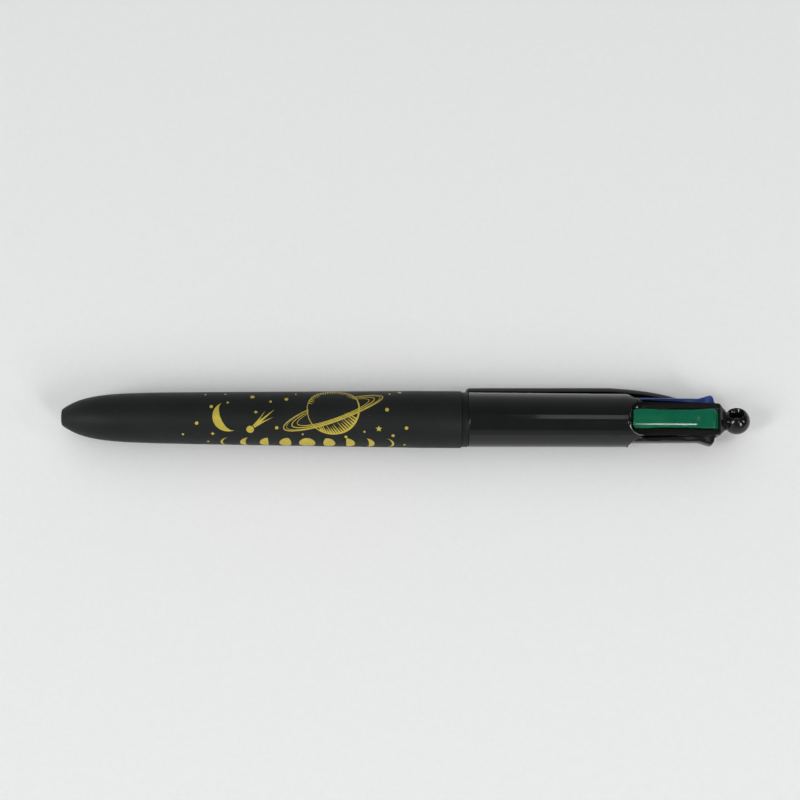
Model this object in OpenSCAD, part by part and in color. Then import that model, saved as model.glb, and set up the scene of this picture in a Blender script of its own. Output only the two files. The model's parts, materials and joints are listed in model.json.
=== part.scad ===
// Four-colour click pen: a tapered lower barrel, an upper barrel with four thumb sliders,
// a spring clip, a round end knob, and four sprung refills inside.
// The pen's axis is X, with the tip at -X. X = 0 is the joint between the two barrels.
// Z = 0 is on the axis. The pen lies on its barrel and on the edge of its clip, so the
// surface that it rests on is at Z = -lower_r.

/* [Lower barrel] */
// Length of the lower barrel, from the flat tip face to the joint
lower_len = 84.7; // [80:0.1:95]
// Outer radius of the round band next to the joint
lower_r = 6.05; // [6:0.01:6.3]
// Length of that round band
band_len = 9; // [6:0.5:10]
// Radius that the barrel's straight taper would reach at the tip
nose_base_r = 5.23; // [5.1:0.01:5.4]
// How much the rounded nose takes off that radius at the tip face
nose_drop = 3.48; // [3.3:0.01:3.5]
// Length over which the nose rounds off
nose_fade = 4.7; // [4.4:0.1:5]
// Radius of the hole that the writing tips come out of
nose_hole_r = 1.5; // [1.5:0.01:1.6]

/* [Upper barrel] */
// Length of the round part, from the joint to the chamfer before the sliders
upper_len = 35; // [34:0.1:36]
// Outer radius next to the joint
upper_r = 5.8; // [5.7:0.01:5.9]
// Outer radius at the chamfer
upper_end_r = 5.66; // [5.6:0.01:5.7]
// X of the rear end of the slider frame
frame_end = 54.2; // [54.1:0.1:54.4]
// Half the width of the square slider frame where its flat faces start
frame_front_half = 3.85; // [3.8:0.01:3.9]
// Half the width of the square slider frame at its rear end
frame_half = 3.38; // [3.35:0.01:3.45]
// Length of the plain collar ring at the joint
collar_len = 1.45; // [1.2:0.05:2]

/* [Sliders] */
// How far a slider travels to push its refill out
travel = 9; // [8:0.5:9]
// Width of a slider's thumb tab
tab_w = 4; // [3.6:0.1:4]
// Radius of the tab's slim top at its front end, measured from the pen's axis
tab_top_r = 4.85; // [4.8:0.01:4.9]
// How much lower the slim top is where the bump starts
tab_slope = 0.1; // [0:0.05:0.15]
// Radius of the crest of the tab's bump
bump_r = 5.44; // [5.3:0.01:5.5]
// Radius of the crown across the tab
crown_r = 7; // [5:0.5:12]

/* [Refills] */
// Distance from the pen's axis to each refill
refill_off = 2.3; // [2.3:0.05:2.4]
// Outer radius of the ink tube
tube_r = 1.15; // [1.05:0.01:1.16]
// Bore radius of the ink tube
tube_bore_r = 0.85; // [0.8:0.01:0.9]
// How far an extended writing tip stands out of the nose
stick_out = 2.8; // [2.2:0.1:3]
// Distance from the pen's axis to the writing ball
tip_off = 0.62; // [0.6:0.01:0.66]
// Angle at which the front of a refill leans in to the nose hole
lean = 5; // [5:0.1:5.2]
// Radius of the writing ball
ball_r = 0.35; // [0.3:0.01:0.36]

/* [Springs] */
// Radius of the spring wire
wire_r = 0.13; // [0.1:0.01:0.14]
// Mean radius of the coil
coil_r = 1.34; // [1.33:0.01:1.36]
// Number of turns
coil_turns = 12; // [8:1:14]

/* [Clip] */
// X of the clip's free end
clip_start = 1.05; // [1:0.05:2]
// Radius of the clip's outer face at its free end
clip_r = 8.35; // [8.3:0.05:8.6]
// How much further out the clip is where it starts to curve down
clip_rise = 0.3; // [0:0.05:0.3]
// Thickness of the clip
clip_t = 1.5; // [1.3:0.05:1.6]
// Width of the clip at its free end
clip_w = 4.5; // [4:0.1:4.6]
// Width of the clip at its root
clip_root_w = 2.6; // [2.2:0.1:2.8]
// X where the clip starts to curve down to its root
clip_bend_x = 30; // [29:0.5:30]
// How fast it curves down, per cubic millimetre
clip_bend_rate = 0.00049; // [0.00047:0.00001:0.0005]

/* [End knob] */
// Radius of the ball on the end
knob_r = 2.83; // [2.6:0.01:3]
// X of the centre of the ball
knob_x = 58.55; // [58.4:0.05:58.7]
// Radius of the neck in front of the ball
neck_r = 1.9; // [1.6:0.05:2]
// Radius of the cord hole through the ball, at its narrowest
cord_hole_r = 1; // [0.8:0.05:1.1]
// Radius of the flared mouth of the cord hole
cord_mouth_r = 2; // [1.8:0.05:2.1]

/* [Hidden] */
$fn = 96;
colours = ["blue", "green", "red", "black"];

// small gaps: between pieces that are fitted together, and beside pieces that slide
fit_gap = 0.02;
slide_gap = 0.1;
// how far a cut runs on past the surface that it cuts
over = 1;
big = 40;

// The clip lies across a corner of the slider frame. The pen rests on the round band and on the
// clip's rounded lower edge, which sets how far the clip points below the horizontal.
clip_edge_r = 0.4;
edge_up = clip_r + clip_rise - clip_edge_r;
edge_side = clip_w / 2 - clip_edge_r;
clip_below = asin((lower_r - clip_edge_r) / norm([edge_up, edge_side])) - atan2(edge_side, edge_up);

// turn of each piece about the pen's axis, from pointing at +Z
clip_turn = -90 - clip_below;
turns = [clip_turn + 45, clip_turn + 135, clip_turn - 45, clip_turn - 135];
slider_paint = ["#23409c", "#0a7a55", "#b3202a", "#17191a"];
ink_paint = ["#16308c", "#0b6b45", "#a8101c", "#101114"];

// lower barrel: its outline, and the inside that the leaning refills need
tip_x = -lower_len;
taper_len = lower_len - band_len;
taper = (lower_r - nose_base_r) / taper_len;
nose_steps = 22;
nose_len = 26;
nose_crowding = 1.6;
socket_r = 5;
socket_len = 11.5;
inner_r = 4.2;
nose_inner = [[nose_hole_r, 0], [nose_hole_r, 0.4], [2.1, 4], [3, 9], [3.75, 20], [inner_r, 25]];

// upper barrel
spigot_r = 4.93;
spigot_len = 11;
spigot_bore_r = 4.25;
shoulder_x = collar_len + 0.05;
groove_count = 5;
groove_pitch = 1.6;
groove_depth = 0.22;
channel_r = norm([tab_w / 2, tab_top_r - crown_r + sqrt(pow(crown_r, 2) - pow(tab_w / 2, 2))]) + slide_gap;
channel_x = upper_len - 8.4;
slot_half = tab_w / 2 + slide_gap;
// a hollow ramp leads down to each flat face of the tapered slider frame
ramp_x = upper_len + 0.35;
ramp_len = 3.05;
ramp_rise = 1.7;
ramp_fade = 1.25;
ramp_steps = 8;
face_x = ramp_x + ramp_len;
face_slope = (frame_front_half - frame_half) / (frame_end - face_x);
corner_round = 0.05;
corner_r = frame_half * sqrt(2) - corner_round;
corner_front_r = frame_front_half * sqrt(2) - corner_round;
corner_x = face_x - 0.3;
mouth_x = ramp_x - ramp_fade * ln((channel_r - frame_front_half) / ramp_rise);

// refill guide, springs and sliders
guide_x = 8;
guide_len = 2.5;
guide_rim_r = 4.4;
guide_rim_x = guide_x + 0.85;
guide_rim_len = 0.7;
guide_rim_gap = 0.05;
guide_bore_r = tube_r + 0.05;
spring_x = guide_x + guide_len;
boss_x = 31;
boss_r = 1.5;
boss_len = 6.5;
plug_len = 4;
plug_r = tube_bore_r - 0.01;
wedge_r = 1.2;
wedge_half = 0.5;
tab_x = upper_len + 0.9;
tab_end = frame_end - slide_gap;
bump_x = tab_end - 3.7;
bump_base_r = tab_top_r - tab_slope;
bump_root = 0.3;
crest_x = tab_end - 1.4;
heel_x = tab_end - 0.65;
bump_fall = 1.2;
bump_steps = 5;
crown_tilt = atan(tab_slope / (bump_x - tab_x));

// refills: a straight ink tube, then a tip holder and a tip that lean in to the nose hole
ball_x = tip_x - stick_out + travel;
lean_len = (refill_off - tip_off) / sin(lean);
knee_x = ball_x + lean_len * cos(lean);
tip_len = 12.3;
tip_plug = 3;
tip_face = 0.25;
tip_face_r = 0.39;
tip_cone_len = 3.2;
tip_cone_r = 0.57;
tip_neck_len = 7;
tip_neck_r = 0.6;
tip_flare = 1.6;
tip_body_r = 0.93;
ball_gap = 0.005;
holder_plug_r = 0.62;
holder_plug = 2;
ink_channel_r = 0.35;
ink_end = 4;

// clip
clip_pad_r = 4.35;
clip_top_r = 5.3;
clip_steps = 16;
clip_root_x = 46;
clip_taper_x = clip_bend_x + 2;
nub_x = clip_start + 3;
nub_inset = 0.7;

// end knob
plate_x = frame_end + fit_gap;
plate_t = 0.33;
cone_len = 1.7;
cone_r = neck_r + 0.15;
neck_end = knob_x - sqrt(pow(knob_r, 2) - pow(neck_r, 2)) + 0.1;
fin_t = 0.8;
fin_x = upper_len + 4.1;
fin_r = slot_half * sqrt(2) - slide_gap;
hole_steps = 8;
hole_lean = 8;

// ---- helpers ----

// a turned solid about the pen's axis, from [radius, x] points
module turned(points) {
    rotate([0, 90, 0]) rotate_extrude() polygon(points);
}

// a rod along the pen's axis
module rod(r, x0, x1) {
    translate([x0, 0, 0]) rotate([0, 90, 0]) cylinder(r = r, h = x1 - x0);
}

// a flat shape drawn in [x, radius], extruded to a width across the pen
module slab(points, w) {
    rotate([90, 0, 0]) translate([0, 0, -w / 2]) linear_extrude(w) polygon(points);
}

// a bar along the pen's axis whose section is drawn in [across, radius]
module bar(x0, x1) {
    translate([x0, 0, 0]) rotate([90, 0, 90]) linear_extrude(x1 - x0) children();
}

// turns a piece about the pen's axis to its own place
module turned_to(a) {
    rotate([a, 0, 0]) children();
}

// the frame that a refill's leaning front is drawn in: Z runs from the writing ball to the rear
module on_front() {
    translate([ball_x, 0, tip_off]) rotate([0, 90 - lean, 0]) children();
}

// ---- lower barrel ----

// outer radius at a distance u behind the tip face
function barrel_r(u) = min(lower_r, nose_base_r + taper * u - nose_drop * exp(-u / nose_fade));

// distances behind the tip face where the outline has a point, closer together at the tip
function nose_at(i) = nose_len * pow(i / nose_steps, nose_crowding);

module lower_barrel() {
    edge = 0.15;
    outline = [
        for (i = [0 : nose_steps]) [barrel_r(nose_at(i)), tip_x + nose_at(i)],
        [lower_r, -band_len],
        [lower_r, -edge],
        [lower_r - edge, 0],
        [socket_r, 0],
        [socket_r, -socket_len],
        [inner_r, -socket_len - 1],
        for (i = [len(nose_inner) - 1 : -1 : 0]) [nose_inner[i][0], tip_x + nose_inner[i][1]],
    ];
    color("#26292a") turned(outline);
}

// ---- upper barrel ----

module joint_collar() {
    edge = 0.1;
    color("#1c1e1f") turned([
        [spigot_r + fit_gap, fit_gap], [upper_r - edge, fit_gap], [upper_r, fit_gap + edge],
        [upper_r, collar_len - edge], [upper_r - edge, collar_len], [spigot_r + fit_gap, collar_len],
    ]);
}

// rings round the spigot, where the lower barrel screws on
module spigot_grooves() {
    for (i = [1 : groove_count])
        translate([-i * groove_pitch, 0, 0]) turned([
            [spigot_r - groove_depth, 0], [spigot_r + over, -over - groove_depth],
            [spigot_r + over, over + groove_depth],
        ]);
}

// the pocket that leaves one flat face of the slider frame, with its ramp at the front
function ramp_r(u) = frame_front_half + ramp_rise * exp(-u / ramp_fade);

module face_pocket() {
    slab([
        for (i = [0 : ramp_steps]) [ramp_x + ramp_len * i / ramp_steps, ramp_r(ramp_len * i / ramp_steps)],
        [face_x, frame_front_half],
        [frame_end + over, frame_half - face_slope * over],
        [frame_end + over, 2 * corner_r],
        [ramp_x, 2 * corner_r],
    ], 4 * frame_half);
}

// the slots that the sliders run in, open to the outside behind the mouth
module slider_channels() {
    for (a = [turns[0], turns[1]])
        turned_to(a) {
            intersection() {
                bar(channel_x, mouth_x + over) square([2 * slot_half, big], center = true);
                rod(channel_r, channel_x, mouth_x + over);
            }
            bar(mouth_x, frame_end + over) square([2 * slot_half, big], center = true);
        }
}

module upper_barrel() {
    edge = 0.15;
    color("#101112") difference() {
        turned([
            [0, -spigot_len], [spigot_r - edge, -spigot_len], [spigot_r, -spigot_len + edge],
            [spigot_r, shoulder_x], [upper_r - edge, shoulder_x], [upper_r, shoulder_x + edge],
            [upper_end_r, upper_len], [corner_front_r, corner_x], [corner_r, frame_end], [0, frame_end],
        ]);
        rod(spigot_bore_r, -spigot_len - over, channel_x + fit_gap);
        rod(guide_rim_r + fit_gap, guide_rim_x - guide_rim_gap, guide_rim_x + guide_rim_len + guide_rim_gap);
        spigot_grooves();
        slider_channels();
        for (a = turns) turned_to(a) face_pocket();
        // a flat on the corner under the clip's root
        turned_to(clip_turn) translate([clip_root_x - over, -frame_half, clip_pad_r - fit_gap])
            cube([big, 2 * frame_half, big]);
    }
}

// ---- clip ----

// the outer face rises gently to the bend, then curves down to the root
function clip_out(x) = clip_r + clip_rise * min(1, (x - clip_start) / (clip_bend_x - clip_start))
    - clip_bend_rate * pow(max(0, x - clip_bend_x), 3);
function clip_slope(x) = 3 * clip_bend_rate * pow(max(0, x - clip_bend_x), 2);
// the inner face, a thickness below the outer one, and not below the pad that the root sits on
function clip_in(x) = max(clip_pad_r, clip_out(x) - clip_t * norm([1, clip_slope(x)]));

module clip_side() {
    curve_end = clip_root_x + 3.5;
    xs = [for (i = [0 : clip_steps]) clip_bend_x + (curve_end - clip_bend_x) * i / clip_steps];
    outer = [for (x = xs) [x, max(clip_top_r, clip_out(x))]];
    inner = [for (i = [clip_steps : -1 : 0]) [xs[i], clip_in(xs[i])]];
    rotate([90, 0, 0]) translate([0, 0, -clip_w / 2]) linear_extrude(clip_w) polygon(concat(
        [[clip_start, clip_r - clip_t + clip_edge_r / 2], [clip_start, clip_r - clip_edge_r],
            [clip_start + clip_edge_r, clip_r]],
        outer, [[frame_end, clip_top_r], [frame_end, clip_pad_r]], inner,
        [[clip_start + clip_edge_r, clip_r - clip_t]]
    ));
}

// seen from above, the clip narrows behind the bend to its root, and has cut-off corners
module clip_plan() {
    half = clip_w / 2;
    root = clip_root_w / 2;
    corner = 0.8;
    linear_extrude(2 * clip_r) polygon([
        [clip_start - over, corner - half], [clip_start, corner - half], [clip_start + corner, -half],
        [clip_taper_x, -half], [clip_root_x, -root], [frame_end + over, -root],
        [frame_end + over, root], [clip_root_x, root], [clip_taper_x, half],
        [clip_start + corner, half], [clip_start, half - corner], [clip_start - over, half - corner],
    ]);
}

// rounds the two long outer edges of the clip where it is furthest out
module clip_edges() {
    side = clip_w / 2;
    bar(clip_start - over, frame_end + over) union() {
        translate([-side, 0]) square([2 * side, edge_up]);
        translate([clip_edge_r - side, 0]) square([2 * (side - clip_edge_r), 2 * clip_r]);
        for (s = [-1, 1]) translate([s * (side - clip_edge_r), edge_up]) circle(r = clip_edge_r);
    }
}

module clip() {
    nub_r = clip_r - clip_t - upper_r - fit_gap;
    color("#101112") turned_to(clip_turn) {
        intersection() {
            clip_side();
            clip_plan();
            clip_edges();
        }
        // the nub that grips a pocket against the barrel
        translate([nub_x, 0, clip_r - clip_t]) rotate([90, 0, 0])
            cylinder(r = nub_r, h = clip_w - 2 * nub_inset, center = true);
    }
}

// ---- end knob ----

// the cord hole leans forward, and is narrowest in the middle and flared at both mouths
function hole_r(h) = cord_hole_r + (cord_mouth_r - cord_hole_r) * pow(h / (knob_r - cord_hole_r / 2), 2);

module cord_hole() {
    top = knob_r + over;
    rotate_extrude() polygon([
        [0, -top],
        for (i = [-hole_steps : hole_steps]) [hole_r(top * i / hole_steps), top * i / hole_steps],
        [0, top],
    ]);
}

module end_knob() {
    color("#101112") {
        // square end plate, tapering to the neck
        turned_to(turns[0]) {
            translate([plate_x, -frame_half, -frame_half]) cube([plate_t, 2 * frame_half, 2 * frame_half]);
            hull() {
                translate([plate_x + plate_t - fit_gap, -frame_half, -frame_half])
                    cube([fit_gap, 2 * frame_half, 2 * frame_half]);
                rod(cone_r, plate_x + plate_t + cone_len - fit_gap, plate_x + plate_t + cone_len);
            }
        }
        rod(neck_r, plate_x, neck_end);
        turned_to(clip_turn + 90) translate([knob_x, 0, 0]) difference() {
            sphere(r = knob_r);
            rotate([0, -hole_lean, 0]) cord_hole();
        }
        // crossed fins that keep the four sliders apart
        turned_to(clip_turn)
            for (a = [0, 90]) turned_to(a)
                translate([fin_x, -fin_t / 2, -fin_r])
                    cube([plate_x + plate_t / 2 - fin_x, fin_t, 2 * fin_r]);
    }
}

// ---- inside the upper barrel ----

module refill_guide() {
    color("#d8d8d2") difference() {
        union() {
            rod(spigot_bore_r - fit_gap, guide_x, guide_x + guide_len);
            rod(guide_rim_r, guide_rim_x, guide_rim_x + guide_rim_len);
        }
        for (a = turns) turned_to(a) translate([0, 0, refill_off])
            rod(guide_bore_r, guide_x - over, guide_x + guide_len + over);
    }
}

// the section of a slider's tab below its crown: a wedge that runs between the fins
module tab_section() {
    half = tab_w / 2;
    side_r = wedge_r + half - wedge_half + fit_gap;
    polygon([[wedge_half, wedge_r], [half, side_r], [half, bump_r + over], [-half, bump_r + over],
        [-half, side_r], [-wedge_half, wedge_r]]);
}

// the round of the crown across a tab, from x0 towards the rear
module crown(x0, top, tilt) {
    translate([x0, 0, top]) rotate([0, tilt, 0]) translate([-over, 0, -crown_r]) rotate([0, 90, 0])
        cylinder(r = crown_r, h = big);
}

// radius of the bump's crest line: an S-shaped rise, then a rounded fall to the heel
bump_root_r = bump_base_r - bump_root;
function bump_rise_r(t) = bump_root_r + (bump_r - bump_root_r) * (1 - cos(180 * t)) / 2;
function bump_fall_r(t) = bump_r - bump_fall * (1 - sqrt(1 - pow(t, 2)));

// a slider: the thumb tab with its bump, the boss that the spring pushes on, and the plug
// that holds the ink tube
module slider(i) {
    color(slider_paint[i]) turned_to(turns[i]) {
        intersection() {
            bar(tab_x, bump_x + over) tab_section();
            crown(tab_x, tab_top_r, crown_tilt);
        }
        intersection() {
            bar(bump_x, tab_end) tab_section();
            crown(bump_x, bump_r, 0);
            slab([
                [bump_x, 0],
                for (k = [0 : bump_steps])
                    [bump_x + (crest_x - bump_x) * k / bump_steps, bump_rise_r(k / bump_steps)],
                for (k = [1 : bump_steps])
                    [crest_x + (heel_x - crest_x) * k / bump_steps, bump_fall_r(k / bump_steps)],
                [tab_end, frame_half],
                [tab_end, 0],
            ], 2 * tab_w);
        }
        translate([0, 0, refill_off]) {
            rod(boss_r, boss_x, boss_x + boss_len);
            rod(plug_r, boss_x - plug_len, boss_x + over);
        }
    }
}

// distance of the wire's centre along the spring after t turns; the end turns are closed
function coil_x(t, run) =
    let (closed = 2.1 * wire_r)
    t < 1 ? closed * t :
    t > coil_turns - 1 ? run - closed * (coil_turns - t) :
    closed + (run - 2 * closed) * (t - 1) / (coil_turns - 2);

module spring(i) {
    sides = 5;
    per_turn = 12;
    rings = coil_turns * per_turn;
    run = boss_x - spring_x - 2 * wire_r - 2 * fit_gap;
    points = [for (n = [0 : rings], k = [0 : sides - 1])
        let (a = 360 * n / per_turn, b = 360 * k / sides, r = coil_r + wire_r * cos(b))
        [coil_x(n / per_turn, run) + wire_r * sin(b), r * cos(a), r * sin(a)]];
    walls = [for (n = [0 : rings - 1], k = [0 : sides - 1])
        let (m = (k + 1) % sides)
        each [[n * sides + k, (n + 1) * sides + k, n * sides + m],
            [n * sides + m, (n + 1) * sides + k, (n + 1) * sides + m]]];
    caps = [[for (k = [0 : sides - 1]) k], [for (k = [sides - 1 : -1 : 0]) rings * sides + k]];
    color("#a9adb0") turned_to(turns[i])
        translate([spring_x + wire_r + fit_gap, 0, refill_off]) polyhedron(points, concat(walls, caps));
}

// ---- refills ----

module refill_tube(i) {
    color("#d9dfe2") turned_to(turns[i]) translate([0, 0, refill_off]) difference() {
        rod(tube_r, knee_x, boss_x - fit_gap);
        rod(tube_bore_r, knee_x - over, boss_x + over);
    }
}

module ink(i) {
    color(ink_paint[i]) turned_to(turns[i]) translate([0, 0, refill_off])
        rod(tube_bore_r - fit_gap, knee_x + holder_plug + slide_gap, ink_end);
}

// the holder leans with the tip, and its rear face is cut square to meet the ink tube
module tip_holder(i) {
    color("#e6e6e0") turned_to(turns[i]) difference() {
        union() {
            difference() {
                on_front() translate([0, 0, tip_len]) cylinder(r = tube_r, h = lean_len);
                translate([knee_x - fit_gap, -big / 2, 0]) cube(big);
            }
            on_front() translate([0, 0, lean_len - over]) cylinder(r = holder_plug_r, h = holder_plug + over);
        }
        on_front() {
            translate([0, 0, tip_len - over]) cylinder(r = tube_bore_r, h = tip_plug + over + fit_gap);
            cylinder(r = ink_channel_r, h = big);
        }
    }
}

module refill_tip(i) {
    color("#b9924a") turned_to(turns[i]) on_front() difference() {
        rotate_extrude() polygon([
            [0, tip_face], [tip_face_r, tip_face], [tip_cone_r, tip_cone_len],
            [tip_neck_r, tip_cone_len + slide_gap], [tip_neck_r, tip_neck_len],
            [tip_body_r, tip_neck_len + tip_flare], [tip_body_r, tip_len - fit_gap],
            [plug_r, tip_len - fit_gap], [plug_r, tip_len + tip_plug], [0, tip_len + tip_plug],
        ]);
        translate([0, 0, ball_r]) sphere(r = ball_r + ball_gap);
    }
}

module writing_ball(i) {
    color("#8d9194") turned_to(turns[i]) on_front() translate([0, 0, ball_r]) sphere(r = ball_r);
}

lower_barrel();
joint_collar();
upper_barrel();
clip();
end_knob();
refill_guide();
for (i = [0 : 3]) {
    slider(i);
    spring(i);
    refill_tube(i);
    ink(i);
    tip_holder(i);
    refill_tip(i);
    writing_ball(i);
}
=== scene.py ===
"""The looks of a four-colour click pen: pieces built around its CAD frame, materials, light and camera."""

import json
import math

import bmesh
import bpy
from mathutils import Matrix, Vector


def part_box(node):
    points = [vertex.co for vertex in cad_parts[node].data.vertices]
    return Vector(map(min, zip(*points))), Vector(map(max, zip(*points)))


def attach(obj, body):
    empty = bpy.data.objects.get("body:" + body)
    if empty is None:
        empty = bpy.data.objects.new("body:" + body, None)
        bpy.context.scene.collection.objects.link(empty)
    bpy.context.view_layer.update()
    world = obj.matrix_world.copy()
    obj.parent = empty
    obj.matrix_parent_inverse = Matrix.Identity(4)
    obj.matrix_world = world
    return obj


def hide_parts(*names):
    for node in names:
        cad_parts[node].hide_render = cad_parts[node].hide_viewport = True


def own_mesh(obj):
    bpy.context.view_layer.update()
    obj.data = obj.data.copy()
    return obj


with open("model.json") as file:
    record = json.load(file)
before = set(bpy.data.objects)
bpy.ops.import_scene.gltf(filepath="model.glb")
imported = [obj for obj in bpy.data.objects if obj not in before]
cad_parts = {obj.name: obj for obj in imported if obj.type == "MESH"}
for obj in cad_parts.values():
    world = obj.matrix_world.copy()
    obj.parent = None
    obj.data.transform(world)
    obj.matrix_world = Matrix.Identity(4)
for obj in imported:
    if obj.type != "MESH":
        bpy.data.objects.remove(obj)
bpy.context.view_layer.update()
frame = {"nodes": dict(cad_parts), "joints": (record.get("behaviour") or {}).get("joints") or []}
scene = bpy.context.scene

MM = 0.001  # pieces are drawn in millimetres, and scaled to metres when they are finished
COLOURS = ("blue", "green", "red", "black")
TURN_FROM_CLIP = {"blue": 45, "green": 135, "red": -45, "black": -135}


# ---- places, read from the frame ----

def mm_box(node):
    """Lowest and highest corner of a CAD node, in millimetres."""
    return [Vector(corner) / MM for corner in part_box(node)]


def joint(name):
    """A joint of the frame, by name."""
    return next(j for j in frame["joints"] if j["name"] == name)


barrel_lo, barrel_hi = mm_box("lower_barrel")
knob_lo, knob_hi = mm_box("end_knob")
collar_lo, collar_hi = mm_box("joint_collar")

tip_x = barrel_lo.x
band_r = barrel_hi.y
frame_end = mm_box("upper_barrel")[1].x
clip_start = mm_box("clip")[0].x
knob_end = knob_hi.x

# the clip's hinge axis is square to the pen and to the way the clip faces
clip_faces = Vector(joint("clip_flex")["axis"]).cross(Vector((-1, 0, 0))).normalized()
clip_turn = math.degrees(math.atan2(-clip_faces.y, clip_faces.z))


# ---- mesh tools ----

def loft(rings, loop=False):
    """A capped mesh through rings of points of one length. A loop joins the last ring to the first."""
    bm = bmesh.new()
    rows = [[bm.verts.new(p) for p in ring] for ring in rings]
    count = len(rows[0])
    pairs = list(zip(rows, rows[1:])) + ([(rows[-1], rows[0])] if loop else [])
    for a, b in pairs:
        for i in range(count):
            j = (i + 1) % count
            bm.faces.new((a[i], a[j], b[j], b[i]))
    if not loop:
        bm.faces.new(rows[0])
        bm.faces.new(rows[-1][::-1])
    return to_mesh(bm)


def to_mesh(bm):
    """The mesh of a finished bmesh, with every face pointing outward."""
    bmesh.ops.recalc_face_normals(bm, faces=bm.faces)
    mesh = bpy.data.meshes.new("mesh")
    bm.to_mesh(mesh)
    bm.free()
    return mesh


def joined(*meshes):
    """Several closed shells in one mesh."""
    bm = bmesh.new()
    for mesh in meshes:
        bm.from_mesh(mesh)
    return to_mesh(bm)


def turned(profile, steps=192, closed=False):
    """A solid turned about the pen's axis, from (x, radius) points. A closed profile makes a ring."""
    rings = [
        [(x, r * math.cos(a), r * math.sin(a)) for a in (math.tau * k / steps for k in range(steps))]
        for x, r in profile
    ]
    return loft(rings, loop=closed)


def placed(mesh, turn=0.0, up=0.0):
    """Moves a mesh drawn on the pen's axis outward, then turns it about the axis."""
    mesh.transform(Matrix.Rotation(math.radians(turn), 4, "X") @ Matrix.Translation((0, 0, up)))
    return mesh


def with_modifier(mesh, kind, **settings):
    """The mesh as a modifier leaves it."""
    obj = bpy.data.objects.new("work", mesh)
    scene.collection.objects.link(obj)
    modifier = obj.modifiers.new(kind, kind)
    for key, value in settings.items():
        setattr(modifier, key, value)
    graph = bpy.context.evaluated_depsgraph_get()
    result = bpy.data.meshes.new_from_object(obj.evaluated_get(graph))
    bpy.data.objects.remove(obj)
    return result


def bevelled(mesh, width, steps=3):
    """Rounds the edges where faces meet at more than a shallow angle."""
    shallow = math.radians(35)
    return with_modifier(
        mesh, "BEVEL", width=width, segments=steps, limit_method="ANGLE",
        angle_limit=shallow, use_clamp_overlap=False, miter_outer="MITER_ARC",
    )


def cut_across(mesh, places):
    """Adds rings of edges at some x, so that long faces are shaded evenly up to their rounded ends."""
    bm = bmesh.new()
    bm.from_mesh(mesh)
    for x in places:
        parts = bm.verts[:] + bm.edges[:] + bm.faces[:]
        bmesh.ops.bisect_plane(bm, geom=parts, dist=1e-5, plane_co=(x, 0, 0), plane_no=(1, 0, 0))
    return to_mesh(bm)


def smooth(mesh, angle=32):
    """Smooth shading, with sharp edges kept where faces meet at more than an angle."""
    bm = bmesh.new()
    bm.from_mesh(mesh)
    limit = math.radians(angle)
    for face in bm.faces:
        face.smooth = True
    for edge in bm.edges:
        edge.smooth = len(edge.link_faces) == 2 and edge.calc_face_angle(0.0) < limit
    bm.to_mesh(mesh)
    bm.free()


def cad_copy(node):
    """A CAD node's mesh in millimetres, welded, with flat faces in one piece."""
    weld, flat = 0.002, math.radians(0.8)
    bm = bmesh.new()
    bm.from_mesh(frame["nodes"][node].data)
    bmesh.ops.scale(bm, vec=(1 / MM,) * 3, verts=bm.verts)
    bmesh.ops.remove_doubles(bm, verts=bm.verts, dist=weld)
    bmesh.ops.dissolve_limit(bm, angle_limit=flat, verts=bm.verts, edges=bm.edges)
    return to_mesh(bm)


def piece(name, mesh, material, body, stands_for=(), angle=32):
    """Finishes a mesh as a piece of the pen."""
    smooth(mesh, angle)
    mesh.transform(Matrix.Scale(MM, 4))
    mesh.name = name
    mesh.materials.clear()
    mesh.materials.append(material)
    obj = bpy.data.objects.new(name, mesh)
    scene.collection.objects.link(obj)
    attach(obj, body)
    if stands_for:
        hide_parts(*stands_for)
    return obj


# ---- material tools ----

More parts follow.
